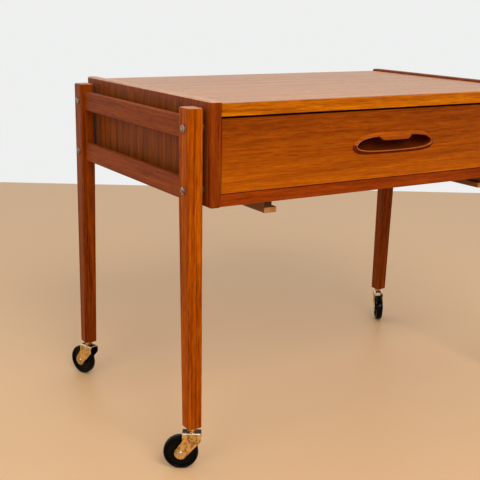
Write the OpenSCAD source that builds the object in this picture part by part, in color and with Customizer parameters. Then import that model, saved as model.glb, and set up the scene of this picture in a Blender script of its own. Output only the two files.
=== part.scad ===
// Sewing table: a veneered teak carcase with one drawer, hung between two leg frames on castors.
// Origin on the floor under the middle of the carcase, +X to the right, the drawer faces -Y, +Z up.

/* [Carcase] */
// Width over the two side panels
body_w = 620; // [580:5:680]
// Depth of the side panels, front to back
body_d = 420; // [400:5:460]
// Height of the side panels
panel_h = 141; // [136:1:150]
// Height of the side panels' top edges above the floor
table_h = 520; // [500:1:560]
// Thickness of a side panel
panel_t = 16.5; // [15:0.5:18]
// Thickness of the top board
top_t = 17; // [16:0.5:18]
// Thickness of the bottom board
bottom_t = 16.5; // [15:0.5:18]
// How far the side panels stand above the top board
top_lip = 3.8; // [0:0.2:6]
// How far the boards' edges lie inside the panels' edges
edge_set = 3; // [0:0.5:5]

/* [Drawer] */
// Thickness of the drawer front
front_t = 18; // [16:1:20]
// Gap above the drawer front
gap_above = 3; // [1:0.5:4]
// Length of the drawer sides
drawer_len = 360; // [300:10:370]
// Height of the drawer sides
side_h = 72; // [60:1:80]
// Thickness of the drawer sides and back
side_t = 12; // [11:0.5:14]

/* [Drawer pull] */
// Half of the pull's length
pull_half = 76; // [60:1:90]
// Height of the pull's upper bow above its widest line
pull_up = 20.6; // [19:0.2:22]
// Depth of the pull's lower bow below its widest line
pull_down = 11; // [10:0.2:12]
// How far the rim stands out of the drawer front
rim_out = 4.5; // [2:0.5:5]
// Length of the lower edge of the tongue that the fingers hook behind
tongue_w = 45; // [36:1:56]

/* [Leg frames] */
// Gap between a side panel and its legs
leg_gap = 5; // [4:0.5:10]
// Leg width (X) at the top
leg_w = 22.5; // [20:0.5:24]
// Leg depth (Y) at the top
leg_d = 28; // [27:0.5:32]
// Leg width (X) at the foot
foot_w = 21; // [18:0.5:22]
// Leg depth (Y) at the foot
foot_d = 21.5; // [20:0.5:24]
// How far the foot's middle lies outward of the leg's middle
foot_out = 6.5; // [0:0.5:8]
// Distance of a leg's top below the side panel's top
leg_drop = 8.8; // [4:0.2:14]
// Height of a rail
rail_h = 30; // [26:1:32]
// Thickness of a rail
rail_t = 10; // [9:0.5:12]

/* [Castors] */
// Diameter of a wheel
wheel_d = 50; // [46:1:52]
// Width of a wheel's tread
wheel_w = 12; // [10:0.5:13]
// Distance from the swivel axis to the wheel's axle
trail = 15.5; // [13:0.5:17]
// Height of a leg's foot above the floor
foot_z = 63; // [62:1:70]

/* [Hidden] */
$fn = 64;
THIN = 0.01;          // a slice thin enough to stand for a flat section
RUN_FIT = 0.05;       // radial clearance of a running fit
SIDES = [["left", -1], ["right", 1]];
// Corner name, side in X, side in Y, direction in which the castor trails
CORNERS = [
    ["front_left", -1, -1, 148.5],
    ["back_left", -1, 1, 111],
    ["front_right", 1, -1, -48],
    ["back_right", 1, 1, 238.5]
];
RAILS = ["upper", "lower"];
CASTOR_PARTS = ["socket", "stem", "fork", "axle", "wheel"];

// Carcase
panel_z = table_h - panel_h;
in_w = body_w - 2 * panel_t;
board_d = body_d - 2 * edge_set;
top_z = table_h - top_lip;
bottom_z = panel_z + 0.5;
floor_in = bottom_z + bottom_t;     // upper face of the bottom board
ceil_in = top_z - top_t;            // lower face of the top board
back_t = 6;
panel_r = 2.5;                      // rounding of a side panel's edges
dowel_d = 8;
dowel_in_panel = 10;
dowel_in_board = 16;
dowel_ys = [-150, -50, 50, 150];
dowel_zs = [top_z - top_t / 2, bottom_z + bottom_t / 2];

// Drawer
front_y = -board_d / 2;
front_back_y = front_y + front_t;
front_side_gap = 1;
front_z = floor_in + 1;
front_h = ceil_in - gap_above - front_z;
side_z = floor_in + 6;
side_gap = 1.5;
side_x = in_w / 2 - side_gap;       // outer face of a drawer side
tail_y = front_back_y + drawer_len; // back end of the drawer
ply_t = 5;
ply_z = side_z + 5;
ply_in = 5;                         // how deep the plywood sits in its grooves
groove_in = 6;
groove_h = 14;
groove_z = side_z + side_h / 2;
runner_play = 0.4;
stop_play = 0.5;

// Drawer pull
pull_z = front_z + front_h / 2 - 2.4;   // the pull's widest line
rim_t = 5.8;                        // width of the rim at the pull's ends
rim_top_t = 6;
rim_low_t = 4.9;
hollow_up = 2;                      // the hollow's widest line lies this much higher
pull_back_t = 3;
tongue_t = 6;
tongue_z = 8.8;                     // the tongue's lower edge above the widest line
tongue_flare = 9;                   // how far the tongue widens towards the rim
tongue_out = 6.5;

// Basket runners
strip_w = 20;
strip_h = 19.5;
strip_lip_t = 8;
strip_web_t = 11.5;
strip_x = 214.5;                    // outer face of a basket runner
strip_y = -193;
strip_end = 191;
strip_screw_ys = [-165, 0, 165];

// Leg frames
leg_x = body_w / 2 + leg_gap + leg_w / 2;
leg_y = 185;
leg_top = table_h - leg_drop;
taper_z = panel_z;
leg_r = 2.5;
foot_x = leg_x;
foot_y = leg_y + foot_out;
rail_top = [table_h - 21.3, table_h - 103.5];
rail_r = 2;
rail_half = leg_y - leg_d / 2;
tenon = [6, 9, 22];
screw_d = 5;
screw_in_panel = 12;
screw_head_d = 11;
screw_head_h = 1.8;
spacer_d = 14;

// Castors
axle_z = wheel_d / 2;
plate_t = 1.6;
plate_half = 13.3;
cheek_gap = 14;
fork_top = 56;
fork_bend_z = 44;
fork_end_r = 9;
axle_r = 2.5;
rivet_r = 3.4;
rivet_h = 1.6;
stem_r = 4;
stem_len = 38;                      // how far the stem reaches into its socket
socket_r = 5.5;
socket_flange_r = 8;
socket_flange_t = 1.5;
collar_r = 6;
swivel_play = 0.3;

// ---------------------------------------------------------------- shared shapes

// A rectangle with round corners, drawn about its middle
module soft_rect(w, h, r) {
    square([w - 2 * r, h], center = true);
    square([w, h - 2 * r], center = true);
    for (x = [-1, 1], y = [-1, 1])
        translate([x * (w / 2 - r), y * (h / 2 - r)]) circle(r);
}

// A box given by its low corner and its size
module block(low, size) { translate(low) cube(size); }

// A round bar along X from x0 to x1
module bar_x(x0, x1, y, z, d) {
    translate([x0, y, z]) rotate([0, 90, 0]) cylinder(d = d, h = x1 - x0);
}

// A low domed head of the given base radius and height, rising along +Z
module dome(r, h) {
    big = (r * r + h * h) / (2 * h);
    intersection() {
        translate([0, 0, h - big]) sphere(big);
        cylinder(r = r, h = h);
    }
}

// ---------------------------------------------------------------- carcase

// Side panel, edges rounded, with bores for the dowels and the leg screws
module side_panel(side) {
    color("sienna") difference() {
        translate([side * (body_w - panel_t) / 2, 0, panel_z])
            intersection() {
                linear_extrude(panel_h) soft_rect(panel_t, body_d, panel_r);
                translate([0, body_d / 2, panel_h / 2]) rotate([90, 0, 0])
                    linear_extrude(body_d) soft_rect(panel_t, panel_h, panel_r);
            }
        mirror([side < 0 ? 1 : 0, 0, 0]) {
            for (y = dowel_ys, z = dowel_zs)
                bar_x(in_w / 2 - 1, in_w / 2 + dowel_in_panel, y, z, dowel_d);
            for (y = [-leg_y, leg_y], z = rail_top)
                bar_x(body_w / 2 - screw_in_panel, body_w / 2 + 1, y, z - rail_h / 2, screw_d);
        }
    }
}

// A board between the side panels, bored at both ends for its dowels
module carcase_board(z, t, hole_z) {
    difference() {
        block([-in_w / 2, -board_d / 2, z], [in_w, board_d, t]);
        for (s = [-1, 1], y = dowel_ys)
            bar_x(s > 0 ? in_w / 2 - dowel_in_board : -in_w / 2 - 1,
                  s > 0 ? in_w / 2 + 1 : -in_w / 2 + dowel_in_board, y, hole_z, dowel_d);
    }
}

module top_board() { color("peru") carcase_board(ceil_in, top_t, dowel_zs[0]); }

// Bottom board, with screw holes for the basket runners in its lower face
module bottom_board() {
    color("chocolate") difference() {
        carcase_board(bottom_z, bottom_t, dowel_zs[1]);
        runner_screw_shanks();
    }
}

module back_panel() {
    color("sienna")
        block([-in_w / 2, board_d / 2 - back_t, floor_in], [in_w, back_t, ceil_in - floor_in]);
}

module carcase_dowels() {
    color("burlywood") for (s = [0, 1], y = dowel_ys, z = dowel_zs)
        mirror([s, 0, 0])
            bar_x(in_w / 2 - dowel_in_board, in_w / 2 + dowel_in_panel, y, z, dowel_d);
}

// Hardwood strip on a side panel's inner face, which the drawer side's groove slides on
module drawer_runner(side) {
    strip = [side_gap + groove_in - runner_play, tail_y - front_back_y + 12, groove_h - 2 * runner_play];
    color("burlywood") mirror([side < 0 ? 1 : 0, 0, 0])
        block([in_w / 2 - strip[0], front_back_y + 5, groove_z - strip[2] / 2], strip);
}

// Two glued blocks behind the drawer that it meets when it is shut
module drawer_stops() {
    stop = [30, 16, 28];
    color("burlywood") for (s = [-1, 1])
        block([s * 200 - stop[0] / 2, tail_y + stop_play, floor_in], stop);
}

// ---------------------------------------------------------------- drawer

// A bow-topped boat about its widest line: full above it, flatter below it.
// A higher power makes the lower bow flatter along its middle.
module boat(half, up, down, power) {
    polygon(concat(
        [for (i = [0:24]) let (u = sin(90 - 7.5 * i)) [half * u, up * sqrt(1 - pow(u, 4))]],
        [for (i = [1:23]) let (u = sin(7.5 * i - 90)) [half * u, -down * sqrt(1 - pow(abs(u), power))]]
    ));
}

// Runs a flat shape drawn about the pull's widest line from the plane y0 back to y1
module pull_slab(y0, y1) {
    translate([0, y1, pull_z]) rotate([90, 0, 0]) linear_extrude(y1 - y0) children();
}

module pull_outline() { boat(pull_half, pull_up, pull_down, 6); }

module pull_hollow() {
    translate([0, hollow_up])
        boat(pull_half - rim_t, pull_up - rim_top_t - hollow_up, pull_down - rim_low_t + hollow_up, 3);
}

// Drawer front with the opening for the pull and a groove for the drawer's bottom
module drawer_front() {
    w = in_w - 2 * front_side_gap;
    color("chocolate") difference() {
        block([-w / 2, front_y, front_z], [w, front_t, front_h]);
        pull_slab(front_y - 1, front_back_y + 1) pull_outline();
        block([-side_x + side_t, front_back_y - ply_in, ply_z], [2 * (side_x - side_t), ply_in + 1, ply_t]);
    }
}

// Drawer side with a groove outside for its runner and one inside for the plywood
module drawer_side(side) {
    color("wheat") mirror([side < 0 ? 1 : 0, 0, 0]) difference() {
        block([side_x - side_t, front_back_y, side_z], [side_t, drawer_len, side_h]);
        block([side_x - groove_in, front_back_y - 1, groove_z - groove_h / 2],
              [groove_in + 1, drawer_len + 2, groove_h]);
        block([side_x - side_t - 1, front_back_y - 1, ply_z], [ply_in + 1, drawer_len + 2, ply_t]);
    }
}

module drawer_back() {
    inner = side_x - side_t;
    color("wheat")
        block([-inner, tail_y - side_t, ply_z + ply_t], [2 * inner, side_t, side_z + side_h - ply_z - ply_t]);
}

module drawer_bottom() {
    half = side_x - side_t;
    color("tan") {
        block([-half - ply_in, front_back_y, ply_z], [2 * (half + ply_in), drawer_len, ply_t]);
        block([-half, front_back_y - ply_in, ply_z], [2 * half, ply_in + 1, ply_t]);
    }
}

// Carved pull: a boat-shaped cup let into the drawer front, with a tongue over its upper edge
module drawer_pull() {
    cup_back = front_back_y - pull_back_t;
    color("sienna") {
        difference() {
            pull_slab(front_y - rim_out, front_back_y) pull_outline();
            pull_slab(front_y - rim_out - 1, cup_back) pull_hollow();
        }
        pull_slab(front_y - tongue_out, front_y - tongue_out + tongue_t) intersection() {
            pull_outline();
            polygon([
                [-tongue_w / 2, tongue_z], [tongue_w / 2, tongue_z],
                [tongue_w / 2 + tongue_flare, pull_up - rim_top_t],
                [tongue_w / 2 + tongue_flare, pull_up], [-tongue_w / 2 - tongue_flare, pull_up],
                [-tongue_w / 2 - tongue_flare, pull_up - rim_top_t]
            ]);
        }
    }
}

// ---------------------------------------------------------------- basket runners

// Rabbeted beech strip under the carcase; its lip points inward and carries the basket's rim
module basket_runner(side) {
    top = bottom_z;
    low = top - strip_h;
    color("burlywood") mirror([side < 0 ? 1 : 0, 0, 0]) difference() {
        block([strip_x - strip_w, strip_y, low], [strip_w, strip_end - strip_y, strip_h]);
        block([strip_x - strip_w - 1, strip_y - 1, low + strip_lip_t],
              [strip_w - strip_web_t + 1, strip_end - strip_y + 2, strip_h]);
        for (y = strip_screw_ys) translate([strip_x - strip_web_t / 2, y, low - 1]) {
            cylinder(d = 4, h = strip_h + 2);
            cylinder(d = 8, h = 4);
        }
    }
}

// The part of each runner screw that sits in the bottom board
module runner_screw_shanks() {
    for (s = [-1, 1], y = strip_screw_ys)
        translate([s * (strip_x - strip_web_t / 2), y, bottom_z - 1]) cylinder(d = 4, h = 11);
}

module runner_screws() {
    head_z = bottom_z - strip_h + 3;
    color("goldenrod") for (s = [-1, 1], y = strip_screw_ys)
        translate([s * (strip_x - strip_web_t / 2), y, 0]) {
            translate([0, 0, head_z]) cylinder(d = 4, h = bottom_z + 10 - head_z);
            difference() {
                translate([0, 0, head_z - 2.6]) cylinder(d = 8, h = 2.6);
                translate([-5, -0.6, head_z - 3]) cube([10, 1.2, 1.4]);
            }
        }
}

// ---------------------------------------------------------------- leg frames

// Leg: straight beside the carcase, tapering below it, with mortises, screw holes and a socket bore
module leg(sx, sy) {
    color("sienna") difference() {
        union() {
            translate([sx * leg_x, sy * leg_y, taper_z])
                linear_extrude(leg_top - taper_z) soft_rect(leg_w, leg_d, leg_r);
            hull() {
                translate([sx * leg_x, sy * leg_y, taper_z - THIN])
                    linear_extrude(THIN, $fn = 32) soft_rect(leg_w, leg_d, leg_r);
                translate([sx * foot_x, sy * foot_y, foot_z])
                    linear_extrude(THIN, $fn = 32) soft_rect(foot_w, foot_d, leg_r);
            }
        }
        for (z = rail_top) {
            translate([sx * leg_x, sy * (leg_y - leg_d / 2), z - rail_h / 2])
                cube([tenon[0], 2 * tenon[1], tenon[2]], center = true);
            bar_x(sx * leg_x - leg_w, sx * leg_x + leg_w, sy * leg_y, z - rail_h / 2, screw_d);
        }
        translate([sx * foot_x, sy * foot_y, foot_z - 1]) cylinder(r = socket_r, h = stem_len + 3);
    }
}

// Rail between the two legs of a frame, tenoned into both
module rail(sx, top) {
    color("saddlebrown") translate([sx * leg_x, 0, top - rail_h / 2]) {
        translate([0, rail_half, 0]) rotate([90, 0, 0])
            linear_extrude(2 * rail_half) soft_rect(rail_t, rail_h, rail_r);
        cube([tenon[0], 2 * (rail_half + tenon[1]), tenon[2]], center = true);
    }
}

// Runs its children at every leg screw, turned so that +Z points out of the leg
module at_leg_screws() {
    for (sx = [-1, 1], sy = [-1, 1], z = rail_top)
        translate([sx * (leg_x + leg_w / 2), sy * leg_y, z - rail_h / 2])
            rotate([0, sx * 90, 0]) children();
}

// Slotted round-head screws through leg and spacer into the side panel
module leg_screws() {
    reach = leg_w + leg_gap + screw_in_panel;
    color("silver") at_leg_screws() difference() {
        union() {
            translate([0, 0, -reach]) cylinder(d = screw_d, h = reach);
            dome(screw_head_d / 2, screw_head_h);
        }
        rotate(20) translate([-screw_head_d, -0.7, screw_head_h - 1])
            cube([2 * screw_head_d, 1.4, 2]);
    }
}

// Turned steel rings that keep each leg off the side panel
module leg_spacers() {
    color("dimgray") at_leg_screws() translate([0, 0, -leg_w - leg_gap]) difference() {
        cylinder(d = spacer_d, h = leg_gap);
        translate([0, 0, -1]) cylinder(d = screw_d, h = leg_gap + 2);
    }
}

// ---------------------------------------------------------------- castors

// Moves its children from the swivel axis of a castor to its place, turned so that +X trails
module at_castor(corner) {
    translate([corner[1] * foot_x, corner[2] * foot_y, 0]) rotate(corner[3]) children();
}

// Brass sleeve driven into the foot of the leg
module castor_socket(corner) {
    color("goldenrod") at_castor(corner) difference() {
        union() {
            translate([0, 0, foot_z]) cylinder(r = socket_r, h = stem_len + 2);
            translate([0, 0, foot_z - socket_flange_t])
                cylinder(r = socket_flange_r, h = socket_flange_t);
        }
        translate([0, 0, foot_z - socket_flange_t - 1])
            cylinder(r = stem_r + RUN_FIT, h = stem_len + socket_flange_t + 1.5);
    }
}

// Swivel pin with its collar, riveted into the fork
module castor_stem(corner) {
    collar_top = foot_z - socket_flange_t - swivel_play;
    color("goldenrod") at_castor(corner) {
        translate([0, 0, fork_top - plate_t]) cylinder(r = stem_r, h = foot_z + stem_len - fork_top + plate_t);
        translate([0, 0, fork_top]) cylinder(r = collar_r, h = collar_top - fork_top);
    }
}

// Point where a line from p touches the circle of radius r about c, to its left or right
function touch(p, c, r, turn) =
    let (d = p - c, far = norm(d), a = atan2(d[1], d[0]) + turn * acos(r / far))
    c + r * [cos(a), sin(a)];

// One cheek of the fork, seen from the side, with +X trailing and the axle at [trail, axle_z]
module cheek_outline() {
    hub = [trail, axle_z];
    front_bend = [-plate_half, fork_bend_z];
    back_bend = [plate_half, fork_bend_z];
    polygon([
        [-plate_half, fork_top - plate_t / 2], front_bend, touch(front_bend, hub, fork_end_r, 1),
        hub, touch(back_bend, hub, fork_end_r, -1), back_bend, [plate_half, fork_top - plate_t / 2]
    ]);
    translate(hub) circle(fork_end_r);
}

// Bent brass-plated fork: a flat top plate and two slanting cheeks
module castor_fork(corner) {
    outer = cheek_gap + 2 * plate_t;
    color("goldenrod") at_castor(corner) difference() {
        union() {
            for (y = [-outer / 2, cheek_gap / 2])
                translate([0, y + plate_t, 0]) rotate([90, 0, 0]) linear_extrude(plate_t) cheek_outline();
            block([-plate_half, -outer / 2, fork_top - plate_t], [2 * plate_half, outer, plate_t]);
        }
        translate([0, 0, fork_top - plate_t - 1]) cylinder(r = stem_r, h = plate_t + 2);
        translate([trail, outer, axle_z]) rotate([90, 0, 0]) cylinder(r = axle_r, h = 2 * outer);
    }
}

// Steel rivet that the wheel turns on
module castor_axle(corner) {
    half = cheek_gap / 2 + plate_t;
    color("silver") at_castor(corner) translate([trail, 0, axle_z]) {
        rotate([90, 0, 0]) cylinder(r = axle_r, h = 2 * half, center = true);
        for (s = [-1, 1]) translate([0, s * half, 0]) rotate([-s * 90, 0, 0]) dome(rivet_r, rivet_h);
    }
}

// Moulded wheel: a rounded tread, a sunk disc and a hub that nearly fills the fork
module castor_wheel(corner) {
    r = wheel_d / 2;
    w = wheel_w / 2;
    hub_w = cheek_gap / 2 - 0.4;
    color("black") at_castor(corner) translate([trail, 0, axle_z]) rotate([90, 0, 0])
        rotate_extrude() polygon([
            [axle_r + RUN_FIT, -hub_w], [6, -hub_w], [7, -w + 2.5], [r - 5, -w + 2.5],
            [r - 4, -w], [r - 2, -w], [r - 0.5, -w + 1.5], [r, -w + 3.5],
            [r, w - 3.5], [r - 0.5, w - 1.5], [r - 2, w], [r - 4, w],
            [r - 5, w - 2.5], [7, w - 2.5], [6, hub_w], [axle_r + RUN_FIT, hub_w]
        ]);
}

// ---------------------------------------------------------------- what is drawn

side_panel(-1);  // side_panel_left
side_panel(1);  // side_panel_right
top_board();
bottom_board();
back_panel();
carcase_dowels();
drawer_runner(-1);  // drawer_runner_left
drawer_runner(1);  // drawer_runner_right
drawer_stops();
drawer_front();
drawer_side(-1);  // drawer_side_left
drawer_side(1);  // drawer_side_right
drawer_back();
drawer_bottom();
drawer_pull();
basket_runner(-1);  // basket_runner_left
basket_runner(1);  // basket_runner_right
runner_screws();
leg_screws();
leg_spacers();
for (s = SIDES) {
    rail(s[1], rail_top[0]);
    rail(s[1], rail_top[1]);
}
for (c = CORNERS) {
    leg(c[1], c[2]);
    castor_socket(c);
    castor_stem(c);
    castor_fork(c);
    castor_axle(c);
    castor_wheel(c);
}
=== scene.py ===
"""A low sewing table on castors, put together piece by piece as its maker would."""

import math

import bmesh
import bpy
from mathutils import Matrix, Vector


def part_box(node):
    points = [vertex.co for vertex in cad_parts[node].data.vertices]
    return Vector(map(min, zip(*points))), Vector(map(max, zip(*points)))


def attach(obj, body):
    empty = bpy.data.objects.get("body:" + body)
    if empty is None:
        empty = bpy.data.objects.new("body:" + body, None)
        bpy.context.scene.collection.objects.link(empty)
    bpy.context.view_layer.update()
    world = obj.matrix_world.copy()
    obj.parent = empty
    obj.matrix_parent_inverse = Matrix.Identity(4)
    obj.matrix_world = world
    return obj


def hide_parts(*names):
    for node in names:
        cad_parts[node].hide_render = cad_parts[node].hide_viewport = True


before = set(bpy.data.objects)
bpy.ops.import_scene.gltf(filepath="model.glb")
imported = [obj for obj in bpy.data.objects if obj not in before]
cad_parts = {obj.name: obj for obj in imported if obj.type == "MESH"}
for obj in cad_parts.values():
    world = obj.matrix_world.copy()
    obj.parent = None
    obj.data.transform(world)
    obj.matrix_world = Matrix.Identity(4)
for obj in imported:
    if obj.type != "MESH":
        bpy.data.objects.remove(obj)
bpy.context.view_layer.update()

# ------------------------------------------------------------------ side panels
# The two upright ends of the box: boards veneered on both faces, grain upright, with
# solid teak lippings glued round their edges. The edges are rounded by hand and
# oiled, and the lippings stand a little above the top and in front of the drawer.

MM = 0.001


class Wire:
    """One output of a shader node. Arithmetic on it adds Math nodes."""

    def __init__(self, nodes, socket):
        self.nodes = nodes
        self.socket = socket

    def math(self, operation, first, second):
        return self.nodes.node("ShaderNodeMath", {"operation": operation}, {0: first, 1: second})

    def __add__(self, other):
        return self.math("ADD", self, other)

    def __sub__(self, other):
        return self.math("SUBTRACT", self, other)

    def __rsub__(self, other):
        return self.math("SUBTRACT", other, self)

    def __mul__(self, other):
        return self.math("MULTIPLY", self, other)

    def __pow__(self, other):
        return self.math("POWER", self, other)

    __radd__ = __add__
    __rmul__ = __mul__


class Nodes:
    """A node tree in the making."""

    def __init__(self, tree):
        self.tree = tree

    def node(self, kind, settings=None, sockets=None, out=0):
        """Adds one node: its settings first, then the values or links of its sockets."""
        made = self.tree.nodes.new(kind)
        for name, value in (settings or {}).items():
            if name != "stops":
                setattr(made, name, value)
                continue
            stops = made.color_ramp.elements
            while len(stops) < len(value):
                stops.new(1.0)
            for stop, (position, colour) in zip(stops, value):
                stop.position = position
                stop.color = (*colour, 1.0)
        for name, value in (sockets or {}).items():
            self.feed(made.inputs[name], value)
        return Wire(self, made.outputs[out])

    def feed(self, socket, value):
        if isinstance(value, Wire):
            self.tree.links.new(value.socket, socket)
        else:
            socket.default_value = value


class Finish(Nodes):
    """A material: the pattern nodes that its makers share, and its shader."""

    def __init__(self, name, **constants):
        self.material = bpy.data.materials.new(name)
        self.material.use_nodes = True
        super().__init__(self.material.node_tree)
        self.shader = self.tree.nodes["Principled BSDF"]
        for socket, value in constants.items():
            self.shader.inputs[socket.replace("_", " ")].default_value = value

    def place(self):
        """The three coordinates of a point of the piece, in metres."""
        whole = self.node("ShaderNodeTexCoord", out=3)
        split = self.node("ShaderNodeSeparateXYZ", None, {"Vector": whole})
        return [Wire(self, socket) for socket in split.socket.node.outputs]

    def point(self, x, y, z):
        return self.node("ShaderNodeCombineXYZ", None, {"X": x, "Y": y, "Z": z})

    def cloud(self, x, y, z, detail=2.0, rough=0.5):
        """Soft noise about 0.5 whose size is set by how the coordinates are scaled."""
        sockets = {"Vector": self.point(x, y, z), "Scale": 1.0, "Detail": detail, "Roughness": rough}
        return self.node("ShaderNodeTexNoise", {"noise_dimensions": "3D"}, sockets)

    def rise(self, value, start, end):
        """0 below start, 1 above end and smooth between."""
        limits = {"Value": value, "From Min": start, "From Max": end}
        return self.node("ShaderNodeMapRange", {"interpolation_type": "SMOOTHSTEP"}, limits)

    def tint(self, tone, stops):
        return self.node("ShaderNodeValToRGB", {"stops": stops}, {"Fac": tone})

    def mix(self, share, first, second):
        kind = {"data_type": "RGBA", "blend_type": "MIX"}
        return self.node("ShaderNodeMix", kind, {0: share, 6: first, 7: second}, out=2)

    def surface(self, colour=None, roughness=None, height=None, depth=0.1 * MM):
        """Feeds the shader; height is a relief that is depth metres high."""
        if colour is not None:
            self.feed(self.shader.inputs["Base Color"], colour)
        if roughness is not None:
            self.feed(self.shader.inputs["Roughness"], roughness)
        if height is not None:
            relief = self.node("ShaderNodeBump", None, {"Strength": 1.0, "Distance": depth, "Height": height})
            self.feed(self.shader.inputs["Normal"], relief)
        return self.material


def teak(
    name,
    grain,
    colour,
    pith=(0.3, 0.3),
    tilt=0.0,
    bands=60.0,
    figure=0.5,
    gloss=0.45,
    lustre=0.12,
    lean=(0.0, 0.0),
):
    """Oiled teak of a mean colour, cut from a log whose pith runs along the grain axis.

    pith is where the pith passes, tilt slopes the bands against the board, bands is how
    many broad bands fall in a metre, figure is their strength, and lean is a height and
    how much paler a metre above it would be.
    """
    finish = Finish(name, Specular_IOR_Level=lustre, Specular_Tint=(1.0, 0.62, 0.36, 1.0))
    x, y, z = finish.place()
    along, across, up = {"X": (x, y, z), "Y": (y, x, z), "Z": (z, x, y)}[grain]
    wander = finish.cloud(along * 2.2, across * 9.0, up * 9.0) - 0.5
    side = across - pith[0] + wander * 0.02
    rise = up - pith[1] + wander * 0.03 + along * tilt
    radius = (side * side + rise * rise) ** 0.5
    grown = {"W": radius * bands, "Scale": 1.0, "Detail": 4.0, "Roughness": 0.62}
    band = finish.node("ShaderNodeTexNoise", {"noise_dimensions": "1D"}, grown) - 0.5
    streak = finish.cloud(along * 6.0, across * 420.0, up * 420.0, 3.0, 0.6) - 0.5
    dash = finish.cloud(along * 50.0, across * 650.0, up * 650.0) - 0.5
    fibre = finish.cloud(along * 90.0, across * 2400.0, up * 2400.0) - 0.5
    patch = finish.cloud(along * 4.0, across * 12.0, up * 12.0) - 0.5
    tone = 0.5 + band * (1.5 * figure) + streak * (2.2 * figure) + dash * (0.3 + figure)
    tone = tone + fibre * 0.35 + patch * 0.3 + (up - lean[0]) * lean[1]
    pore = finish.rise(finish.cloud(along * 120.0, across * 3000.0, up * 3000.0, 1.0), 0.6, 0.7)
    shades = (
        (0.0, (0.35, 0.25, 0.2)),
        (0.33, (0.76, 0.66, 0.62)),
        (0.66, (1.22, 1.26, 1.3)),
        (1.0, (1.75, 2.2, 2.6)),
    )
    stops = [(place, [min(c * k, 1.0) for c, k in zip(colour, shade)]) for place, shade in shades]
    paint = finish.mix(pore * 0.3, finish.tint(tone, stops), (*stops[0][1], 1.0))
    roughness = gloss + fibre * 0.2 + pore * 0.2 + patch * 0.1
    return finish.surface(paint, roughness, fibre * 0.5 - pore - dash * 0.3, 0.05 * MM)


def board(low, high):
    """A square-edged board between two corners."""
    shape = bmesh.new()
    bmesh.ops.create_cube(shape, size=1.0)
    for vert in shape.verts:
        vert.co = Vector([l + (h - l) * (c + 0.5) for l, h, c in zip(low, high, vert.co)])
    return shape


def ease(shape, radius, segments=3):
    """Rounds every edge of a mesh."""
    bmesh.ops.bevel(shape, geom=shape.edges[:], offset=radius, segments=segments, profile=0.5, affect="EDGES")
    return shape


def saw(shape, axis, *places):
    """Parts the faces along planes across an axis, so that each part can have its own wood."""
    for place in places:
        plane = Vector([float(axis == i) for i in range(3)])
        every = shape.verts[:] + shape.edges[:] + shape.faces[:]
        bmesh.ops.bisect_plane(shape, geom=every, plane_co=plane * place, plane_no=plane)
    return shape


def clad(shape, index, chosen):
    """Gives the faces whose middle is chosen the material of that index."""
    for face in shape.faces:
        if chosen(face.calc_center_median()):
            face.material_index = index
    return shape


def loft(rings, closed=False):
    """A skin over rings of points; the end rings are capped unless the last meets the first."""
    shape = bmesh.new()
    rows = [[shape.verts.new(point) for point in ring] for ring in rings]
    pairs = list(zip(rows, rows[1:] + rows[:1])) if closed else list(zip(rows, rows[1:]))
    for lower, upper in pairs:
        for i in range(len(lower)):
            j = (i + 1) % len(lower)
            shape.faces.new((lower[i], lower[j], upper[j], upper[i]))
    if not closed:
        shape.faces.new(rows[0][::-1])
        shape.faces.new(rows[-1])
    bmesh.ops.recalc_face_normals(shape, faces=shape.faces[:])
    return shape


def turned(profile, steps=40, closed=False):
    """A lathe shape about Z from (radius, height) pairs."""
    turns = [2.0 * math.pi * i / steps for i in range(steps)]
    return loft([[(r * math.cos(t), r * math.sin(t), h) for t in turns] for r, h in profile], closed)


def along_x(shape, x0, y, z, side=1.0):
    """Lays a lathe shape on its side: its Z points along X from x0, or against X."""
    turn = Matrix.Rotation(math.radians(90.0 * side), 4, "Y")
    bmesh.ops.transform(shape, matrix=Matrix.Translation((x0, y, z)) @ turn, verts=shape.verts[:])
    return shape


def joined(*shapes):
    """Several meshes as one, used up in the joining."""
    whole = bmesh.new()
    for shape in shapes:
        part = as_mesh(shape, "part")
        whole.from_mesh(part)
        bpy.data.meshes.remove(part)
    return whole


def as_mesh(shape, name):
    mesh = bpy.data.meshes.new(name)
    shape.to_mesh(mesh)
    shape.free()
    return mesh


def carved(shape, *cutters):
    """A mesh with the cutters' space taken out of it."""
    solid, tool = [bpy.data.objects.new("carving", as_mesh(s, "carving")) for s in (shape, joined(*cutters))]
    for item in (solid, tool):
        bpy.context.scene.collection.objects.link(item)
    cut = solid.modifiers.new("cut", "BOOLEAN")
    cut.object = tool
    cut.solver = "EXACT"
    cut.use_self = True
    bpy.context.view_layer.update()
    result = bmesh.new()
    result.from_object(solid, bpy.context.evaluated_depsgraph_get())
    for item in (solid, tool):
        mesh = item.data
        bpy.data.objects.remove(item)
        bpy.data.meshes.remove(mesh)
    return result


def piece(name, shape, woods, body, nodes, soften=0.0, crease=35.0):
    """Puts a finished mesh in place, on its body and instead of its CAD nodes."""
    mesh = as_mesh(shape, name)
    for wood in woods if isinstance(woods, list) else [woods]:
        mesh.materials.append(wood)
    mesh.shade_smooth()
    mesh.set_sharp_from_angle(angle=math.radians(crease))
    made = bpy.data.objects.new(name, mesh)
    bpy.context.scene.collection.objects.link(made)
    if soften:
        edge = made.modifiers.new("soft edges", "BEVEL")
        edge.width = soften
        edge.segments = 2
        edge.angle_limit = math.radians(crease)
        edge.harden_normals = True
    fair = made.modifiers.new("fair shading", "WEIGHTED_NORMAL")
    fair.keep_sharp = True
    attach(made, body)
    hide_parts(*([nodes] if isinstance(nodes, str) else nodes))


SIDES = (("left", -1.0), ("right", 1.0))
CORNERS = (
    ("front_left", -1.0, -1.0, 148.5),
    ("back_left", -1.0, 1.0, 111.0),
    ("front_right", 1.0, -1.0, -48.0),
    ("back_right", 1.0, 1.0, 238.5),
)

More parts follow.
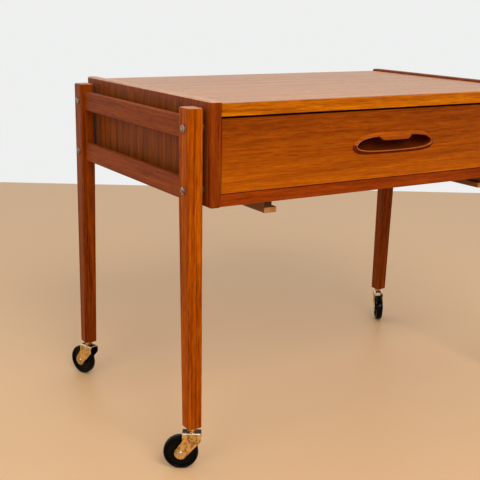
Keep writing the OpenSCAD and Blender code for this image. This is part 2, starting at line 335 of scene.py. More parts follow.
panel_veneer = teak("side_veneer", "Z", (0.20, 0.043, 0.002), pith=(-0.31, 0.75), lustre=0.06)
panel_lipping = teak("side_lipping", "Z", (0.205, 0.032, 0.001), pith=(-0.33, -0.23), bands=150.0, figure=0.6)
# A pale pinkish teak painted on the left panel's top edge as a painted sheen.
panel_top_sheen = teak(
    "side_top_painted_sheen",
    "Y",
    (0.58, 0.30, 0.17),
    pith=(-0.4, 0.3),
    bands=120.0,
    figure=0.4,
    gloss=0.38,
    lustre=0.5,
)

lipping = 9.0 * MM
sheen_band_deep = 1.6 * MM
for side, sign in SIDES:
    low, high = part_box("side_panel_" + side)
    shape = ease(board(low, high), 3.0 * MM, 4)
    saw(shape, 1, low[1] + lipping, high[1] - lipping)
    saw(shape, 2, low[2] + lipping, high[2] - lipping)
    inside = [low[1] + lipping, high[1] - lipping, low[2] + lipping, high[2] - lipping]
    clad(shape, 1, lambda p: not (inside[0] < p.y < inside[1] and inside[2] < p.z < inside[3]))
    clad(shape, 2, lambda p: p.z > high[2] - sheen_band_deep)
    # Only the left panel's top edge gets the painted sheen; the right panel's top edge keeps the plain
    # lipping colour because it lies in shade.
    woods = [panel_veneer, panel_lipping, panel_top_sheen if sign < 0 else panel_lipping]
    piece("panel_" + side, shape, woods, "carcase", "side_panel_" + side)

# ------------------------------------------------------- top and bottom boards
# Veneered boards between the panels, grain from left to right, each with a solid
# lipping on its front edge: a pale one on the top, a redder one under the drawer.

# The top veneer's pale pinkish colour is partly the board's own tone and partly a painted sheen.
top_veneer = teak(
    "top_veneer",
    "X",
    (0.53, 0.235, 0.09),
    pith=(0.35, 0.42),
    tilt=0.03,
    bands=45.0,
    figure=0.3,
    gloss=0.36,
    lustre=0.5,
)
top_lipping = teak(
    "top_lipping",
    "X",
    (0.46, 0.122, 0.0005),
    pith=(-0.24, 0.40),
    tilt=0.02,
    bands=140.0,
    figure=0.45,
)
under_veneer = teak(
    "under_veneer", "X", (0.20, 0.043, 0.002), pith=(0.35, 0.48), tilt=0.03, figure=0.4, lustre=0.06
)
rail_lipping = teak(
    "underboard_lipping", "X", (0.26, 0.038, 0.001), pith=(-0.26, 0.52), tilt=0.015, figure=0.4
)
front_lipping = 7.0 * MM

low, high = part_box("top_board")
shape = saw(ease(board(low, high), 0.8 * MM, 2), 1, low[1] + front_lipping)
clad(shape, 1, lambda p: p.y < low[1] + front_lipping)
piece("tabletop", shape, [top_veneer, top_lipping], "carcase", "top_board")

low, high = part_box("bottom_board")
shape = saw(ease(board(low, high), 0.8 * MM, 2), 1, low[1] + front_lipping)
clad(shape, 1, lambda p: p.y < low[1] + front_lipping)
piece("underboard", shape, [under_veneer, rail_lipping], "carcase", "bottom_board")

# ------------------------------------------------------- back panel and dowels
# A thin veneered panel closes the back between the boards. Beech dowels join the
# boards to the side panels and are hidden in the joints.

back_veneer = teak("back_veneer", "X", (0.26, 0.08, 0.012), pith=(0.35, 0.38), tilt=-0.03, figure=0.6)
low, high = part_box("back_panel")
piece("back_board", ease(board(low, high), 0.5 * MM, 2), back_veneer, "carcase", "back_panel")


def beech(name, grain, tones, gloss=0.5):
    """Plain hardwood with short dark flecks along the grain."""
    finish = Finish(name, Specular_IOR_Level=0.2)
    x, y, z = finish.place()
    along, across, up = {"X": (x, y, z), "Y": (y, x, z), "Z": (z, x, y)}[grain]
    band = finish.cloud(along * 3.0, across * 90.0, up * 90.0, 3.0) - 0.5
    fibre = finish.cloud(along * 20.0, across * 1400.0, up * 1400.0) - 0.5
    fleck = finish.rise(finish.cloud(along * 260.0, across * 1900.0, up * 1900.0, 1.0), 0.62, 0.7)
    tone = 0.5 + band * 1.4 + fibre * 0.8
    colour = finish.tint(tone, list(zip((0.1, 0.5, 0.9), tones)))
    colour = finish.mix(fleck * 0.45, colour, (*tones[0], 1.0))
    return finish.surface(colour, gloss + fibre * 0.3 + fleck * 0.1, fibre - fleck, 0.05 * MM)


dowel_beech = beech("dowel_beech", "X", [(0.34, 0.19, 0.09), (0.50, 0.32, 0.17), (0.60, 0.42, 0.25)])
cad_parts["carcase_dowels"].data.materials.clear()
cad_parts["carcase_dowels"].data.materials.append(dowel_beech)

# ------------------------------------------------- drawer runners and stops
# Hardwood strips on the inner faces of the side panels carry the drawer in the
# grooves of its sides. Two glued blocks stop it flush with the front.

strip_beech = beech("strip_beech", "Y", [(0.30, 0.16, 0.07), (0.46, 0.28, 0.14), (0.56, 0.37, 0.21)])
for side, _ in SIDES:
    low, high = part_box("drawer_runner_" + side)
    shape = ease(board(low, high), 1.0 * MM, 2)
    piece("drawer_strip_" + side, shape, strip_beech, "carcase", "drawer_runner_" + side)

low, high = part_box("drawer_stops")
block_long = 30.0 * MM
blocks = [
    ease(board(low, (low[0] + block_long, high[1], high[2])), 1.0 * MM, 2),
    ease(board((high[0] - block_long, low[1], low[2]), high), 1.0 * MM, 2),
]
piece("stop_blocks", joined(*blocks), strip_beech, "carcase", "drawer_stops")

# ---------------------------------------------------------------- drawer front
# One wide veneered board, grain from left to right, darker towards its upper edge,
# with a boat-shaped opening that the pull is let into.

front_veneer = teak(
    "drawer_veneer",
    "X",
    (0.325, 0.068, 0.0005),
    pith=(-0.13, 0.05),
    tilt=-0.05,
    bands=70.0,
    figure=0.32,
    lean=(0.448, -4.4),
)

front_low, front_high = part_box("drawer_front")
pull_half, pull_up, pull_down = 76.0 * MM, 20.6 * MM, 11.0 * MM
pull_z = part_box("drawer_pull")[0][2] + pull_down
hollow_middle = 2.0 * MM
around = [math.pi * (i / 90.0 - 0.5) for i in range(180)]
past = 10.0 * MM


def boat(half, up, down, power, lift=0.0):
    """Points round the pull: a full bow above its widest line and a flatter one below."""
    found = []
    for turn in around:
        reach = -math.sin(turn)
        rise = up * math.sqrt(max(1.0 - reach**4, 0.0))
        sag = -down * math.sqrt(max(1.0 - abs(reach) ** power, 0.0))
        found.append(Vector((half * reach, lift + (rise if turn < math.pi / 2.0 else sag))))
    return found


rim_outer = boat(pull_half, pull_up, pull_down, 6.0)
rim_inner = boat(70.2 * MM, 12.6 * MM, 8.1 * MM, 3.0, hollow_middle)


def slab(y0, y1):
    """The pull's outline as a solid from y0 back to y1."""
    return loft([[(p.x, y, pull_z + p.y) for p in rim_outer] for y in (y0, y1)])


shape = ease(board(front_low, front_high), 0.7 * MM, 2)
shape = carved(shape, slab(front_low[1] - past, front_high[1] + past))
piece("drawer_face", shape, front_veneer, "drawer", "drawer_front")

# ----------------------------------------------------------------- drawer pull
# A cup carved from one piece of teak. Its rim rises softly round the hollow, and a
# tongue hangs from the upper rim, undercut so that the fingers hook behind it.

pull_log = {"pith": (-0.16, 0.50), "bands": 130.0}
pull_teak = teak("pull_teak", "X", (0.36, 0.072, 0.001), gloss=0.34, **pull_log)
# A pale pinkish teak painted on the rim's crest as a painted highlight.
crest_highlight_teak = teak("crest_highlight_teak", "X", (0.42, 0.13, 0.045), figure=0.3, lustre=0.3, **pull_log)
# A dark teak painted on the lower rim's downward outer slope as painted shade.
rim_slope_shade_teak = teak("rim_foot_painted_shade", "X", (0.13, 0.016, 0.001), figure=0.3, lustre=0.05, **pull_log)
# A dark teak painted in the hollow as painted shade, growing darker towards its top under the tongue.
hollow_shade_teak = teak(
    "hollow_shade_teak",
    "X",
    (0.13, 0.02, 0.001),
    figure=0.3,
    gloss=0.5,
    lustre=0.05,
    lean=(0.4405, -42.0),
    **pull_log,
)

tongue_half = 22.6 * MM
tongue_fillet = 9.0 * MM
tongue_edge = 8.8 * MM
face_y = front_low[1]


def smooth(value, start, end):
    """0 below start, 1 above end and smooth between."""
    share = min(max((value - start) / (end - start), 0.0), 1.0)
    return share * share * (3.0 - 2.0 * share)


def rim_ring(share, back=None):
    """A ring across the rim: share 0 is its outer edge and 1 its inner edge.

    back sets how deep the ring lies instead of on the rim's rounded face.
    """
    ring = []
    for turn, outer, edge in zip(around, rim_outer, rim_inner):
        inner = edge.copy()
        beside = smooth(abs(edge.x), tongue_half, tongue_half + tongue_fillet)
        tongue = 1.0 - beside if math.cos(turn) > 0.0 else 0.0
        inner.y += (tongue_edge - inner.y) * tongue
        spot = outer.lerp(inner, share)
        crown = 4.5 * MM * (0.1 + 0.9 * smooth(share, -0.2, 0.86)) - 1.0 * MM * smooth(share, 0.86, 1.0)
        crown += 2.0 * MM * tongue * smooth(share, 0.1, 0.9)
        ring.append((spot.x, face_y - crown if back is None else back, pull_z + spot.y))
    return ring


def cup_ring(back, spread, rise):
    """A ring of the cup's wall behind the rim, drawn in about the hollow's middle."""
    ring = []
    for p in rim_inner:
        ring.append((p.x * spread, back, pull_z + hollow_middle + (p.y - hollow_middle) * rise))
    return ring


rings = [rim_ring(0.0, back=front_high[1])]
rings += [rim_ring(0.0, back=face_y)]
rings += [rim_ring(share) for share in (0.0, 0.06, 0.16, 0.3, 0.45, 0.6, 0.74, 0.86, 0.94, 1.0)]
rings += [rim_ring(1.0, back=face_y - 2.2 * MM), rim_ring(0.96, back=face_y - 0.5 * MM)]
rings += [cup_ring(face_y + 0.4 * MM, 1.0, 1.0), cup_ring(face_y + 5.0 * MM, 1.0, 1.0)]
rings += [cup_ring(face_y + 9.0 * MM, 0.985, 0.95), cup_ring(face_y + 12.0 * MM, 0.95, 0.84)]
rings += [cup_ring(face_y + 14.0 * MM, 0.89, 0.6), cup_ring(face_y + 14.9 * MM, 0.80, 0.25)]
shape = loft(rings)

# Bands of faces are counted from the back of the rim, over its crest and into the hollow.
slope_last, crest_last, hollow_first = 7, 9, 13
crest_highlight_from = -34.0 * MM
for index, face in enumerate(shape.faces):
    band, step = divmod(index, len(around))
    low_side = math.cos(around[step]) < 0.15
    # The hollow: dark painted shade.
    if band >= hollow_first:
        face.material_index = 1
    # The crest, all along the lower rim and left of the given x on the upper rim: pale painted highlight.
    elif slope_last < band <= crest_last and (low_side or face.calc_center_median().x < crest_highlight_from):
        face.material_index = 2
    # The rim's lower outer slope, which faces down: dark painted shade.
    elif band <= slope_last and low_side:
        face.material_index = 3
woods = [pull_teak, hollow_shade_teak, crest_highlight_teak, rim_slope_shade_teak]
piece("pull", shape, woods, "drawer", "drawer_pull", crease=60.0)

# ------------------------------------------------------------------ drawer box
# Beech sides, grooved outside for the runners and inside for the bottom, a beech
# back that sits on the bottom, and a bottom of thin birch plywood.

box_tones = [(0.50, 0.30, 0.14), (0.66, 0.45, 0.25), (0.76, 0.57, 0.36)]
box_beech = beech("drawer_beech", "Y", box_tones, gloss=0.42)
back_beech = beech("drawer_back_beech", "X", box_tones, gloss=0.42)

groove_deep = 6.0 * MM
groove_half = 7.0 * MM
ply_groove = 5.0 * MM
ply_low, ply_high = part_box("drawer_bottom")
for side, sign in SIDES:
    low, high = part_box("drawer_side_" + side)
    middle = (low[2] + high[2]) / 2.0
    shape = ease(board(low, high), 1.2 * MM, 3)
    y0, y1 = low[1] - past, high[1] + past
    if sign < 0:
        outer = (low[0] - past, low[0] + groove_deep)
        inner = (high[0] - ply_groove, high[0] + past)
    else:
        outer = (high[0] - groove_deep, high[0] + past)
        inner = (low[0] - past, low[0] + ply_groove)
    cutters = [
        board((outer[0], y0, middle - groove_half), (outer[1], y1, middle + groove_half)),
        board((inner[0], y0, ply_low[2]), (inner[1], y1, ply_high[2])),
    ]
    shape = carved(shape, *cutters)
    piece("drawer_cheek_" + side, shape, box_beech, "drawer", "drawer_side_" + side)

low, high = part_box("drawer_back")
piece("drawer_tail", ease(board(low, high), 1.0 * MM, 3), back_beech, "drawer", "drawer_back")


def plywood():
    """Birch plywood: pale broad figure with fine brown flecks."""
    finish = Finish("birch_plywood", Specular_IOR_Level=0.3)
    x, y, z = finish.place()
    swirl = finish.cloud(x * 1.6, y * 7.0, z * 3.0, 3.0) - 0.5
    peel = {"W": (y + swirl * 0.2) * 30.0, "Scale": 1.0}
    band = finish.node("ShaderNodeTexNoise", {"noise_dimensions": "1D"}, peel)
    fibre = finish.cloud(x * 25.0, y * 900.0, z * 900.0) - 0.5
    tone = 0.5 + (band - 0.5) * 0.9 + fibre * 0.6 + swirl * 0.4
    tones = [(0.1, (0.52, 0.34, 0.18)), (0.5, (0.68, 0.50, 0.30)), (0.9, (0.78, 0.62, 0.42))]
    return finish.surface(finish.tint(tone, tones), 0.5 + fibre * 0.3, fibre, 0.04 * MM)


cheek_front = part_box("drawer_side_left")[0][1]
leaf = ease(board((ply_low[0], cheek_front, ply_low[2]), ply_high), 0.4 * MM, 1)
front_edge = board(
    (ply_low[0] + ply_groove, ply_low[1], ply_low[2]),
    (ply_high[0] - ply_groove, cheek_front + 1.0 * MM, ply_high[2]),
)
piece("drawer_floor", joined(leaf, front_edge), plywood(), "drawer", "drawer_bottom")

# -------------------------------------------------------------- basket runners
# Two rabbeted hardwood strips screwed under the box. Their lips point inward and
# once carried the rim of a hanging basket; the front ends show sawn end grain.

runner_beech = beech("runner_beech", "Y", [(0.14, 0.045, 0.001), (0.22, 0.075, 0.002), (0.31, 0.12, 0.008)])
runner_end = beech("runner_end_grain", "Z", [(0.32, 0.13, 0.035), (0.46, 0.21, 0.075), (0.58, 0.31, 0.13)])
# Near-black tones painted on the web's front end above the lip, as a painted shadow cast by the box's front.
web_shadow_tones = [(0.04, 0.012, 0.002), (0.08, 0.024, 0.003), (0.13, 0.045, 0.008)]
web_end_shadow = beech("end_grain_painted_shadow", "Z", web_shadow_tones)
strip_web = 11.5 * MM
lip_thick = 8.0 * MM
end_skin = 1.2 * MM
screw_ys = (-165.0 * MM, 0.0, 165.0 * MM)
for side, sign in SIDES:
    low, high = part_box("basket_runner_" + side)
    shape = ease(board(low, high), 1.0 * MM, 2)
    x0, x1 = (low[0] + strip_web, high[0] + past) if sign < 0 else (low[0] - past, high[0] - strip_web)
    cutters = [board((x0, low[1] - past, low[2] + lip_thick), (x1, high[1] + past, high[2] + past))]
    web_x = low[0] + strip_web / 2.0 if sign < 0 else high[0] - strip_web / 2.0
    for y in screw_ys:
        sink = turned([(4.3 * MM, -0.01), (4.3 * MM, 3.2 * MM), (2.1 * MM, 3.3 * MM), (2.1 * MM, 0.03)], 24)
        bmesh.ops.translate(sink, vec=(web_x, y, low[2]), verts=sink.verts[:])
        cutters.append(sink)
    shape = saw(carved(shape, *cutters), 2, low[2] + lip_thick)
    clad(shape, 1, lambda p: p.y < low[1] + end_skin or p.y > high[1] - end_skin)
    # The web's front end above the lip: dark painted shadow.
    clad(shape, 2, lambda p: p.y < low[1] + end_skin and p.z > low[2] + lip_thick)
    woods = [runner_beech, runner_end, web_end_shadow]
    piece("basket_strip_" + side, shape, woods, "carcase", "basket_runner_" + side)


def metal(name, colour, stain, gloss=0.28, scratch=0.5):
    """Plated or plain metal with fine scratches and dull stains."""
    finish = Finish(name, Metallic=1.0)
    x, y, z = finish.place()
    scuff = finish.cloud(x * 900.0, y * 900.0, z * 70.0, 3.0)
    cross = finish.cloud(x * 120.0, y * 120.0, z * 1500.0, 2.0)
    cloud = finish.cloud(x * 150.0, y * 150.0, z * 110.0, 4.0, 0.65)
    worn = finish.rise(cloud, 0.47, 0.62)
    mark = finish.rise(scuff, 0.57, 0.66) * scratch
    shade = finish.mix(worn * 0.75, (*colour, 1.0), (*stain, 1.0))
    shade = finish.mix(mark, shade, (*[c * 0.5 for c in stain], 1.0))
    roughness = gloss + worn * 0.25 + (cross - 0.5) * 0.25 + mark * 0.1
    return finish.surface(shade, roughness, cross * 0.3 - mark - worn * 0.3, 0.03 * MM)


brass = metal("worn_brass", (0.80, 0.53, 0.20), (0.18, 0.08, 0.02), scratch=0.6)
strip_screw = [(0.1, 0.4), (2.6, 0.4), (3.8, 0.7), (4.0, 1.1), (4.0, 2.9)]
strip_screw += [(2.0, 3.2), (2.0, 28.0), (0.2, 29.4)]
screws = []
for side, sign in SIDES:
    low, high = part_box("basket_runner_" + side)
    web_x = low[0] + strip_web / 2.0 if sign < 0 else high[0] - strip_web / 2.0
    for y in screw_ys:
        head = turned([(r * MM, h * MM) for r, h in strip_screw], 28)
        slot = board((-5.0 * MM, -0.5 * MM, -1.0 * MM), (5.0 * MM, 0.5 * MM, 1.5 * MM))
        turn = Matrix.Rotation(y * 9.0 + sign, 3, "Z")
        bmesh.ops.rotate(slot, cent=(0, 0, 0), matrix=turn, verts=slot.verts[:])
        head = carved(head, slot)
        bmesh.ops.translate(head, vec=(web_x, y, low[2]), verts=head.verts[:])
        screws.append(head)
piece("strip_screws", joined(*screws), brass, "carcase", "runner_screws")

# ------------------------------------------------------------------------ legs
# Four solid teak legs, upright beside the box and tapering below it towards feet
# that stand a little apart. Tops and long edges are rounded with a scraper.

# A pale pinkish teak painted on the legs' top faces as a painted sheen.
leg_top_sheen = teak("leg_top_sheen", "Y", (0.42, 0.17, 0.08), pith=(-0.4, 0.3), figure=0.4, lustre=0.5)
leg_cut = {"tilt": 0.02, "bands": 110.0, "figure": 0.6}
leg_teak = teak("leg_teak", "Z", (0.35, 0.068, 0.0005), pith=(-0.20, 0.10), lustre=0.05, **leg_cut)
# The back legs take the front legs' teak in a darker colour, painted shade from the box above them.
back_leg_shade_teak = teak("back_leg_shade_teak", "Z", (0.22, 0.038, 0.0005), pith=(-0.22, -0.10), **leg_cut)

LEG_X, LEG_Y = 326.25 * MM, 185.0 * MM
LEG_W, LEG_D = 22.5 * MM, 28.0 * MM
FOOT_X, FOOT_Y = 326.25 * MM, 191.5 * MM
FOOT_W, FOOT_D = 21.0 * MM, 21.5 * MM
leg_r = 2.5 * MM
tenon_half, tenon_rise, tenon_long = 3.0 * MM, 11.0 * MM, 9.0 * MM
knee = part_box("side_panel_left")[0][2]


def soft_ring(x, y, w, d, r, z, corner=6):
    """A level ring round a rectangle with rounded corners."""
    ring = []
    for turn, sx, sy in ((0.0, 1, 1), (90.0, -1, 1), (180.0, -1, -1), (270.0, 1, -1)):
        for i in range(corner):
            a = math.radians(turn + 90.0 * i / (corner - 1))
            cx = x + sx * (w / 2.0 - r)
            cy = y + sy * (d / 2.0 - r)
            ring.append((cx + r * math.cos(a), cy + r * math.sin(a), z))
    return ring


rail_boxes = {}
for level in ("upper", "lower"):
    for side, sign in SIDES:
        rail_boxes[level, side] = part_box("rail_%s_%s" % (level, side))

for corner, sx, sy, _ in CORNERS:
    side = "left" if sx < 0 else "right"
    low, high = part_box("leg_" + corner)
    rings = []
    for lift, inset in ((0.0, 1.3), (0.5, 0.45), (1.4, 0.0)):
        w, d = FOOT_W - 2 * inset * MM, FOOT_D - 2 * inset * MM
        rings.append(soft_ring(sx * FOOT_X, sy * FOOT_Y, w, d, leg_r - inset * 0.6 * MM, low[2] + lift * MM))
    for share in (0.25, 0.5, 0.75, 1.0):
        x = FOOT_X + (LEG_X - FOOT_X) * share
        y = FOOT_Y + (LEG_Y - FOOT_Y) * share
        w = FOOT_W + (LEG_W - FOOT_W) * share
        d = FOOT_D + (LEG_D - FOOT_D) * share
        rings.append(soft_ring(sx * x, sy * y, w, d, leg_r, low[2] + (knee - low[2]) * share))
    for drop, inset in ((2.6, 0.0), (1.6, 0.2), (0.9, 0.7), (0.5, 1.5), (0.2, 3.6), (0.0, 7.5)):
        w, d = LEG_W - 2 * inset * MM, LEG_D - 2 * inset * MM
        top_r = max(leg_r - inset * 0.3 * MM, 1.2 * MM)
        rings.append(soft_ring(sx * LEG_X, sy * LEG_Y, w, d, top_r, high[2] - drop * MM))
    cutters = []
    for level in ("upper", "lower"):
        rail_low, rail_high = rail_boxes[level, side]
        middle = (rail_low[2] + rail_high[2]) / 2.0
        if sy < 0:
            y0, y1 = rail_low[1], rail_low[1] + tenon_long + 1.0 * MM
        else:
            y0, y1 = rail_high[1] - tenon_long - 1.0 * MM, rail_high[1]
        mortise_low = (sx * LEG_X - tenon_half, y0, middle - tenon_rise)
        mortise_high = (sx * LEG_X + tenon_half, y1, middle + tenon_rise)
        cutters.append(board(mortise_low, mortise_high))
    socket_hole = turned([(5.5 * MM, -0.002), (5.5 * MM, 41.0 * MM)], 32)
    bmesh.ops.translate(socket_hole, vec=(sx * FOOT_X, sy * FOOT_Y, low[2]), verts=socket_hole.verts[:])
    cutters.append(socket_hole)
    shape = clad(carved(loft(rings), *cutters), 1, lambda p: p.z > high[2] - 0.7 * MM)
    woods = [leg_teak if sy < 0 else back_leg_shade_teak, leg_top_sheen]
    piece("leg_post_" + corner, shape, woods, "carcase", "leg_" + corner)

# ----------------------------------------------------------------------- rails
# Two rails tie the legs of each side, tenoned into them; the finish on their broad
# faces has gone dull.

rail_teak = teak(
    "rail_teak",
    "Y",
    (0.225, 0.044, 0.006),
    pith=(-0.42, 0.36),
    tilt=0.03,
    bands=80.0,
    figure=0.35,
    gloss=0.55,
)

rail_r = 2.5 * MM
for (level, side), (low, high) in rail_boxes.items():
    middle = (low[0] + high[0]) / 2.0
    height = (low[2] + high[2]) / 2.0
    rings = []
    for shoulder in (low[1] + tenon_long, high[1] - tenon_long):
        level_ring = soft_ring(middle, height, high[0] - low[0], high[2] - low[2], rail_r, shoulder)
        rings.append([(x, y, z) for x, z, y in level_ring])
    tenon_low = (middle - tenon_half, low[1], height - tenon_rise)
    tenon_high = (middle + tenon_half, high[1], height + tenon_rise)
    tenon = board(tenon_low, tenon_high)
    name = "rail_%s_%s" % (level, side)
    piece("tie_" + name, joined(loft(rings), tenon), rail_teak, "carcase", name)

# --------------------------------------------------------- leg screws, spacers
# Two slotted round-head screws pass through each leg, and through a turned steel ring
# that keeps the leg clear of the panel.

nickel = metal("dull_nickel", (0.40, 0.31, 0.24), (0.16, 0.10, 0.06), gloss=0.34)
dark_steel = metal("dark_steel", (0.36, 0.35, 0.34), (0.16, 0.13, 0.10), gloss=0.35)

head_r, head_h = 5.5 * MM, 1.8 * MM
dome_r = (head_r**2 + head_h**2) / (2.0 * head_h)
dome_turns = (0.30, 0.24, 0.18, 0.12, 0.06, 0.005)
dome = [(dome_r * math.sin(a), head_h - dome_r * (1.0 - math.cos(a))) for a in dome_turns]
dome_scale = head_r / dome[0][0]
shank = [(0.2, -39.4), (2.5, -36.5), (2.5, -0.02), (5.5, -0.02), (5.5, 0.25)]
screw_profile = [(r * MM, h * MM) for r, h in shank]
screw_profile += [(r * dome_scale, max(h, 0.45 * MM)) for r, h in dome]
spacer = [(2.6, 0.05), (6.5, 0.05), (7.0, 0.5), (7.0, 4.5), (6.5, 4.95), (2.6, 4.95)]
leg_gap = 5.0 * MM
screws, spacers = [], []
slot_turns = iter((24.0, 70.0, -18.0, 40.0, 65.0, -35.0, 12.0, 84.0))
for side, sx in SIDES:
    for sy in (-1.0, 1.0):
        for level in ("upper", "lower"):
            low, high = rail_boxes[level, side]
            height = (low[2] + high[2]) / 2.0
            screw = turned(screw_profile, 36)
            slot = board((-8.0 * MM, -0.65 * MM, head_h - 1.1 * MM), (8.0 * MM, 0.65 * MM, head_h + 2.0 * MM))
            turn = Matrix.Rotation(math.radians(next(slot_turns)), 3, "Z")
            bmesh.ops.rotate(slot, cent=(0, 0, 0), matrix=turn, verts=slot.verts[:])
            x = sx * (LEG_X + LEG_W / 2.0)
            screws.append(along_x(carved(screw, slot), x, sy * LEG_Y, height, sx))
            ring = turned([(r * MM, h * MM) for r, h in spacer], 36, closed=True)
            spacers.append(along_x(ring, sx * (LEG_X - LEG_W / 2.0 - leg_gap), sy * LEG_Y, height, sx))
piece("leg_bolts", joined(*screws), nickel, "carcase", "leg_screws")
piece("leg_rings", joined(*spacers), dark_steel, "carcase", "leg_spacers")

# --------------------------------------------------------------------- castors
# A brass socket is driven into each foot. The pin that turns in it carries a turned
# collar and is riveted into a fork bent from brass-plated sheet, and a riveted steel
# axle holds the moulded black wheel.

# Near-black brass painted on the fork's top face as a painted reflection of the dark leg above it, and inside
# the cheeks as painted shade.
dark_painted_brass = metal("brass_painted_shade_and_reflection", (0.032, 0.02, 0.009), (0.012, 0.007, 0.004), gloss=0.4)
# Pale silvery metal painted on the fork's top bend as a painted highlight.
bend_highlight = metal("bend_painted_highlight", (0.85, 0.76, 0.58), (0.45, 0.35, 0.22), gloss=0.22, scratch=0.2)
rivet_steel = metal("rivet_steel", (0.62, 0.58, 0.50), (0.30, 0.24, 0.17), gloss=0.25)


def wheel_plastic():
    """Hard black plastic: glossy on the disc, scuffed dull on the tread."""
    finish = Finish("black_plastic", Specular_IOR_Level=0.1)
    x, y, z = finish.place()
    dust = finish.rise(finish.cloud(x * 320.0, y * 320.0, z * 320.0, 4.0, 0.6), 0.52, 0.72)
    scuff = finish.rise(finish.cloud(x * 1500.0, y * 1500.0, z * 200.0, 2.0), 0.6, 0.7)
    colour = finish.mix(dust * 0.5, (0.0005, 0.001, 0.0015, 1.0), (0.003, 0.004, 0.005, 1.0))
    return finish.surface(colour, 0.16 + dust * 0.22 + scuff * 0.12, dust * -0.3 - scuff * 0.5, 0.04 * MM)


plastic = wheel_plastic()
trail, axle_z, end_round = 15.5 * MM, 25.0 * MM, 9.0 * MM
plate_half, bend_z, fork_top = 13.3 * MM, 44.0 * MM, 56.0 * MM
sheet, cheek_in = 1.6 * MM, 7.0 * MM
cheek_out = cheek_in + sheet


def touch(start, turn):
    """Where a line from start touches the round end of a cheek."""
    hub = Vector((trail, axle_z))
    away = Vector(start) - hub
    angle = math.atan2(away.y, away.x) + turn * math.acos(end_round / away.length)
    return hub + end_round * Vector((math.cos(angle), math.sin(angle)))


front_touch = touch((-plate_half, bend_z), 1.0)
back_touch = touch((plate_half, bend_z), -1.0)


def cheek_span(z):
    """How far a cheek reaches along the trail at a height."""
    chord = math.sqrt(max(end_round**2 - (z - axle_z) ** 2, 0.0))
    if z >= bend_z:
        return -plate_half, plate_half
    ends = []
    for sign, spot in ((-1.0, front_touch), (1.0, back_touch)):
        if z <= spot.y:
            ends.append(trail + sign * chord)
        else:
            share = (z - spot.y) / (bend_z - spot.y)
            ends.append(spot.x + (sign * plate_half - spot.x) * share)
    return tuple(ends)


def fork():
    """A strip of sheet that runs up one cheek, over the top and down the other."""
    end_turns = (10, 16, 24, 34, 45, 57, 70, 84, 98, 112)
    heights = [axle_z - end_round * math.cos(math.radians(a)) for a in end_turns]
    heights += [front_touch.y, back_touch.y, 32.0 * MM, 36.0 * MM, 40.0 * MM, bend_z, 48.0 * MM, 52.0 * MM]
    bend = 2.6 * MM
    half = []
    for z in sorted(set(heights)):
        half.append(((-cheek_out, z), (-cheek_in, z), cheek_span(z)))
    for a in (0, 15, 30, 45, 60, 75, 90):
        c, s = math.cos(math.radians(a)), math.sin(math.radians(a))
        centre_y, centre_z = -cheek_out + bend, fork_top - bend
        outer = (centre_y - bend * c, centre_z + bend * s)
        inner = (centre_y - (bend - sheet) * c, centre_z + (bend - sheet) * s)
        half.append((outer, inner, (-plate_half, plate_half)))
    mirrored = [((-o[0], o[1]), (-i[0], i[1]), span) for o, i, span in reversed(half)]
    rings = []
    for outer, inner, (x0, x1) in half + mirrored:
        rings.append([(x0, *outer), (x1, *outer), (x1, *inner), (x0, *inner)])
    return loft(rings)


# Profiles of the turned pieces, as radius and height or half width in millimetres
socket_profile = [(4.1, 61.5), (7.4, 61.5), (8.0, 61.9), (8.0, 62.7), (7.6, 63.0), (5.5, 63.0)]
socket_profile += [(5.5, 103.0), (4.1, 103.0)]
pin_profile = [(3.4, 53.4), (4.6, 54.0), (4.6, 54.4), (4.0, 54.5), (4.0, 55.9), (5.7, 56.05)]
pin_profile += [(6.0, 56.3), (6.0, 57.4), (5.6, 57.7), (5.1, 57.9), (5.1, 58.5), (5.6, 58.7)]
pin_profile += [(6.0, 59.0), (6.0, 60.9), (5.7, 61.2), (4.0, 61.2), (4.0, 100.4), (3.4, 101.0)]
rivet_head = [(1.0, 1.6), (2.2, 1.35), (3.0, 0.8), (3.4, 0.1), (3.4, 0.0), (2.5, 0.0)]
wheel_half = [(2.55, 6.6), (5.4, 6.6), (6.0, 6.3), (7.2, 3.9), (8.0, 3.4), (18.6, 3.4), (19.4, 3.8)]
wheel_half += [(19.9, 5.5), (20.5, 6.0), (21.6, 6.0), (21.9, 5.6), (22.3, 5.6), (22.6, 6.0)]
wheel_half += [(23.0, 6.0), (24.0, 5.1), (24.6, 4.3), (25.0, 2.5), (25.0, 0.0)]


def placed(shape, matrix):
    """A mesh moved and turned by a matrix."""
    bmesh.ops.transform(shape, matrix=matrix, verts=shape.verts[:])
    return shape


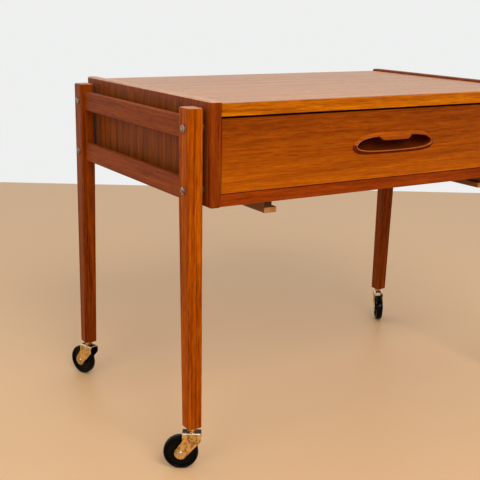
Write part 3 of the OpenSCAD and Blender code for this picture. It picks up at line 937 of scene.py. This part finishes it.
for corner, sx, sy, trail_turn in CORNERS:
    heading = Matrix.Rotation(math.radians(trail_turn), 4, "Z")
    swivel = Matrix.Translation((sx * FOOT_X, sy * FOOT_Y, 0.0)) @ heading
    hub = swivel @ Matrix.Translation((trail, 0.0, axle_z)) @ Matrix.Rotation(math.radians(-90.0), 4, "X")

    socket = placed(turned([(r * MM, z * MM) for r, z in socket_profile], 40, closed=True), swivel)
    piece("socket_" + corner, socket, brass, "carcase", "castor_socket_" + corner)

    stem = placed(turned([(r * MM, z * MM) for r, z in pin_profile], 40), swivel)
    piece("pin_" + corner, stem, brass, "castor_" + corner, "castor_stem_" + corner)

    # The bend of the top plate gets the pale painted highlight.
    shape = clad(fork(), 2, lambda p: p.z > fork_top - 1.9 * MM)
    # The top face and the cheeks' inner faces get the near-black brass: painted reflection and painted shade.
    clad(shape, 1, lambda p: p.z > fork_top - 0.01 * MM)
    clad(shape, 1, lambda p: p.z < bend_z + 8.0 * MM and abs(p.y) < cheek_out - 0.2 * MM)
    metals = [brass, dark_painted_brass, bend_highlight]
    body, node = "castor_" + corner, "castor_fork_" + corner
    piece("fork_" + corner, placed(shape, swivel), metals, body, node, 0.3 * MM)

    ends = [(r * MM, -cheek_out - h * MM) for r, h in rivet_head]
    ends += [(r * MM, cheek_out + h * MM) for r, h in rivet_head[::-1]]
    axle = placed(turned(ends, 32), hub)
    piece("axle_" + corner, axle, rivet_steel, "castor_" + corner, "castor_axle_" + corner)

    tread = [(r * MM, -w * MM) for r, w in wheel_half]
    tread += [(r * MM, w * MM) for r, w in wheel_half[-2::-1]]
    wheel = placed(turned(tread, 72, closed=True), hub)
    name = "wheel_" + corner
    piece(name + "_tyre", wheel, plastic, name, "castor_" + name)

# ---------------------------------------------------- floor, light and camera
# A plain pale floor that ends in a bright surround, soft light from in front and
# from the left, and the camera.


def floor_paint():
    finish = Finish("pale_floor", Specular_IOR_Level=0.3)
    x, y, z = finish.place()
    mottle = finish.cloud(x * 3.0, y * 3.0, z, 2.0) - 0.5
    colour = finish.tint(0.5 + mottle * 0.4, [(0.0, (0.73, 0.46, 0.245)), (1.0, (0.79, 0.51, 0.275))])
    return finish.surface(colour, 0.45 + mottle * 0.1)


low, high = (-2.3, -2.3, -0.004), (2.3, 1.695, 0.0)
floor_mesh = ease(board(low, high), 1.0 * MM, 2)
floor_turn = Matrix.Rotation(math.radians(-32.6), 3, "Z")
bmesh.ops.rotate(floor_mesh, matrix=floor_turn, verts=floor_mesh.verts[:])
floor = bpy.data.objects.new("floor", as_mesh(floor_mesh, "floor"))
floor.data.materials.append(floor_paint())
bpy.context.scene.collection.objects.link(floor)

world = bpy.data.worlds.new("surround")
world.use_nodes = True
bpy.context.scene.world = world
surround = Nodes(world.node_tree)
gaze = surround.node("ShaderNodeTexCoord", out=0)
turned_to = surround.node("ShaderNodeSeparateXYZ", None, {"Vector": gaze}, out=1)
share = surround.node("ShaderNodeMapRange", None, {"Value": turned_to, "From Min": -1.0, "From Max": 1.0})
sky = [(0.0, (0.34, 0.31, 0.28)), (0.5, (0.56, 0.54, 0.51)), (0.8, (0.86, 0.87, 0.86))]
glow = surround.node("ShaderNodeValToRGB", {"stops": sky}, {"Fac": share})
background = world.node_tree.nodes["Background"]
surround.feed(background.inputs["Color"], glow)
background.inputs["Strength"].default_value = 1.0


def lamp(name, size, power, spot, target, colour):
    """A square soft light that faces a target."""
    data = bpy.data.lights.new(name, "AREA")
    data.shape = "SQUARE"
    data.size = size
    data.energy = power
    data.color = colour
    made = bpy.data.objects.new(name, data)
    made.location = spot
    made.rotation_euler = (Vector(target) - Vector(spot)).to_track_quat("-Z", "Y").to_euler()
    bpy.context.scene.collection.objects.link(made)


table_middle = (0.0, 0.0, 0.3)
lamp("ceiling", 1.4, 42.0, (-0.4, -2.1, 2.0), table_middle, (1.0, 0.95, 0.88))
lamp("window", 1.4, 13.0, (-2.1, -1.1, 1.5), table_middle, (1.0, 0.95, 0.9))

lens = bpy.data.cameras.new("camera")
lens.sensor_width = 36.0
lens.lens = 68.2
camera = bpy.data.objects.new("camera", lens)
heading = Matrix.Rotation(math.radians(-31.368), 4, "Z")
tilt_down = Matrix.Rotation(math.radians(90.0 - 14.647), 4, "X")
roll = Matrix.Rotation(math.radians(1.0635), 4, "Z")
stand = Matrix.Translation((-0.8838, -1.22715, 0.64316))
camera.matrix_world = stand @ heading @ tilt_down @ roll
bpy.context.scene.collection.objects.link(camera)
bpy.context.scene.camera = camera
bpy.context.scene.view_settings.view_transform = "Standard"
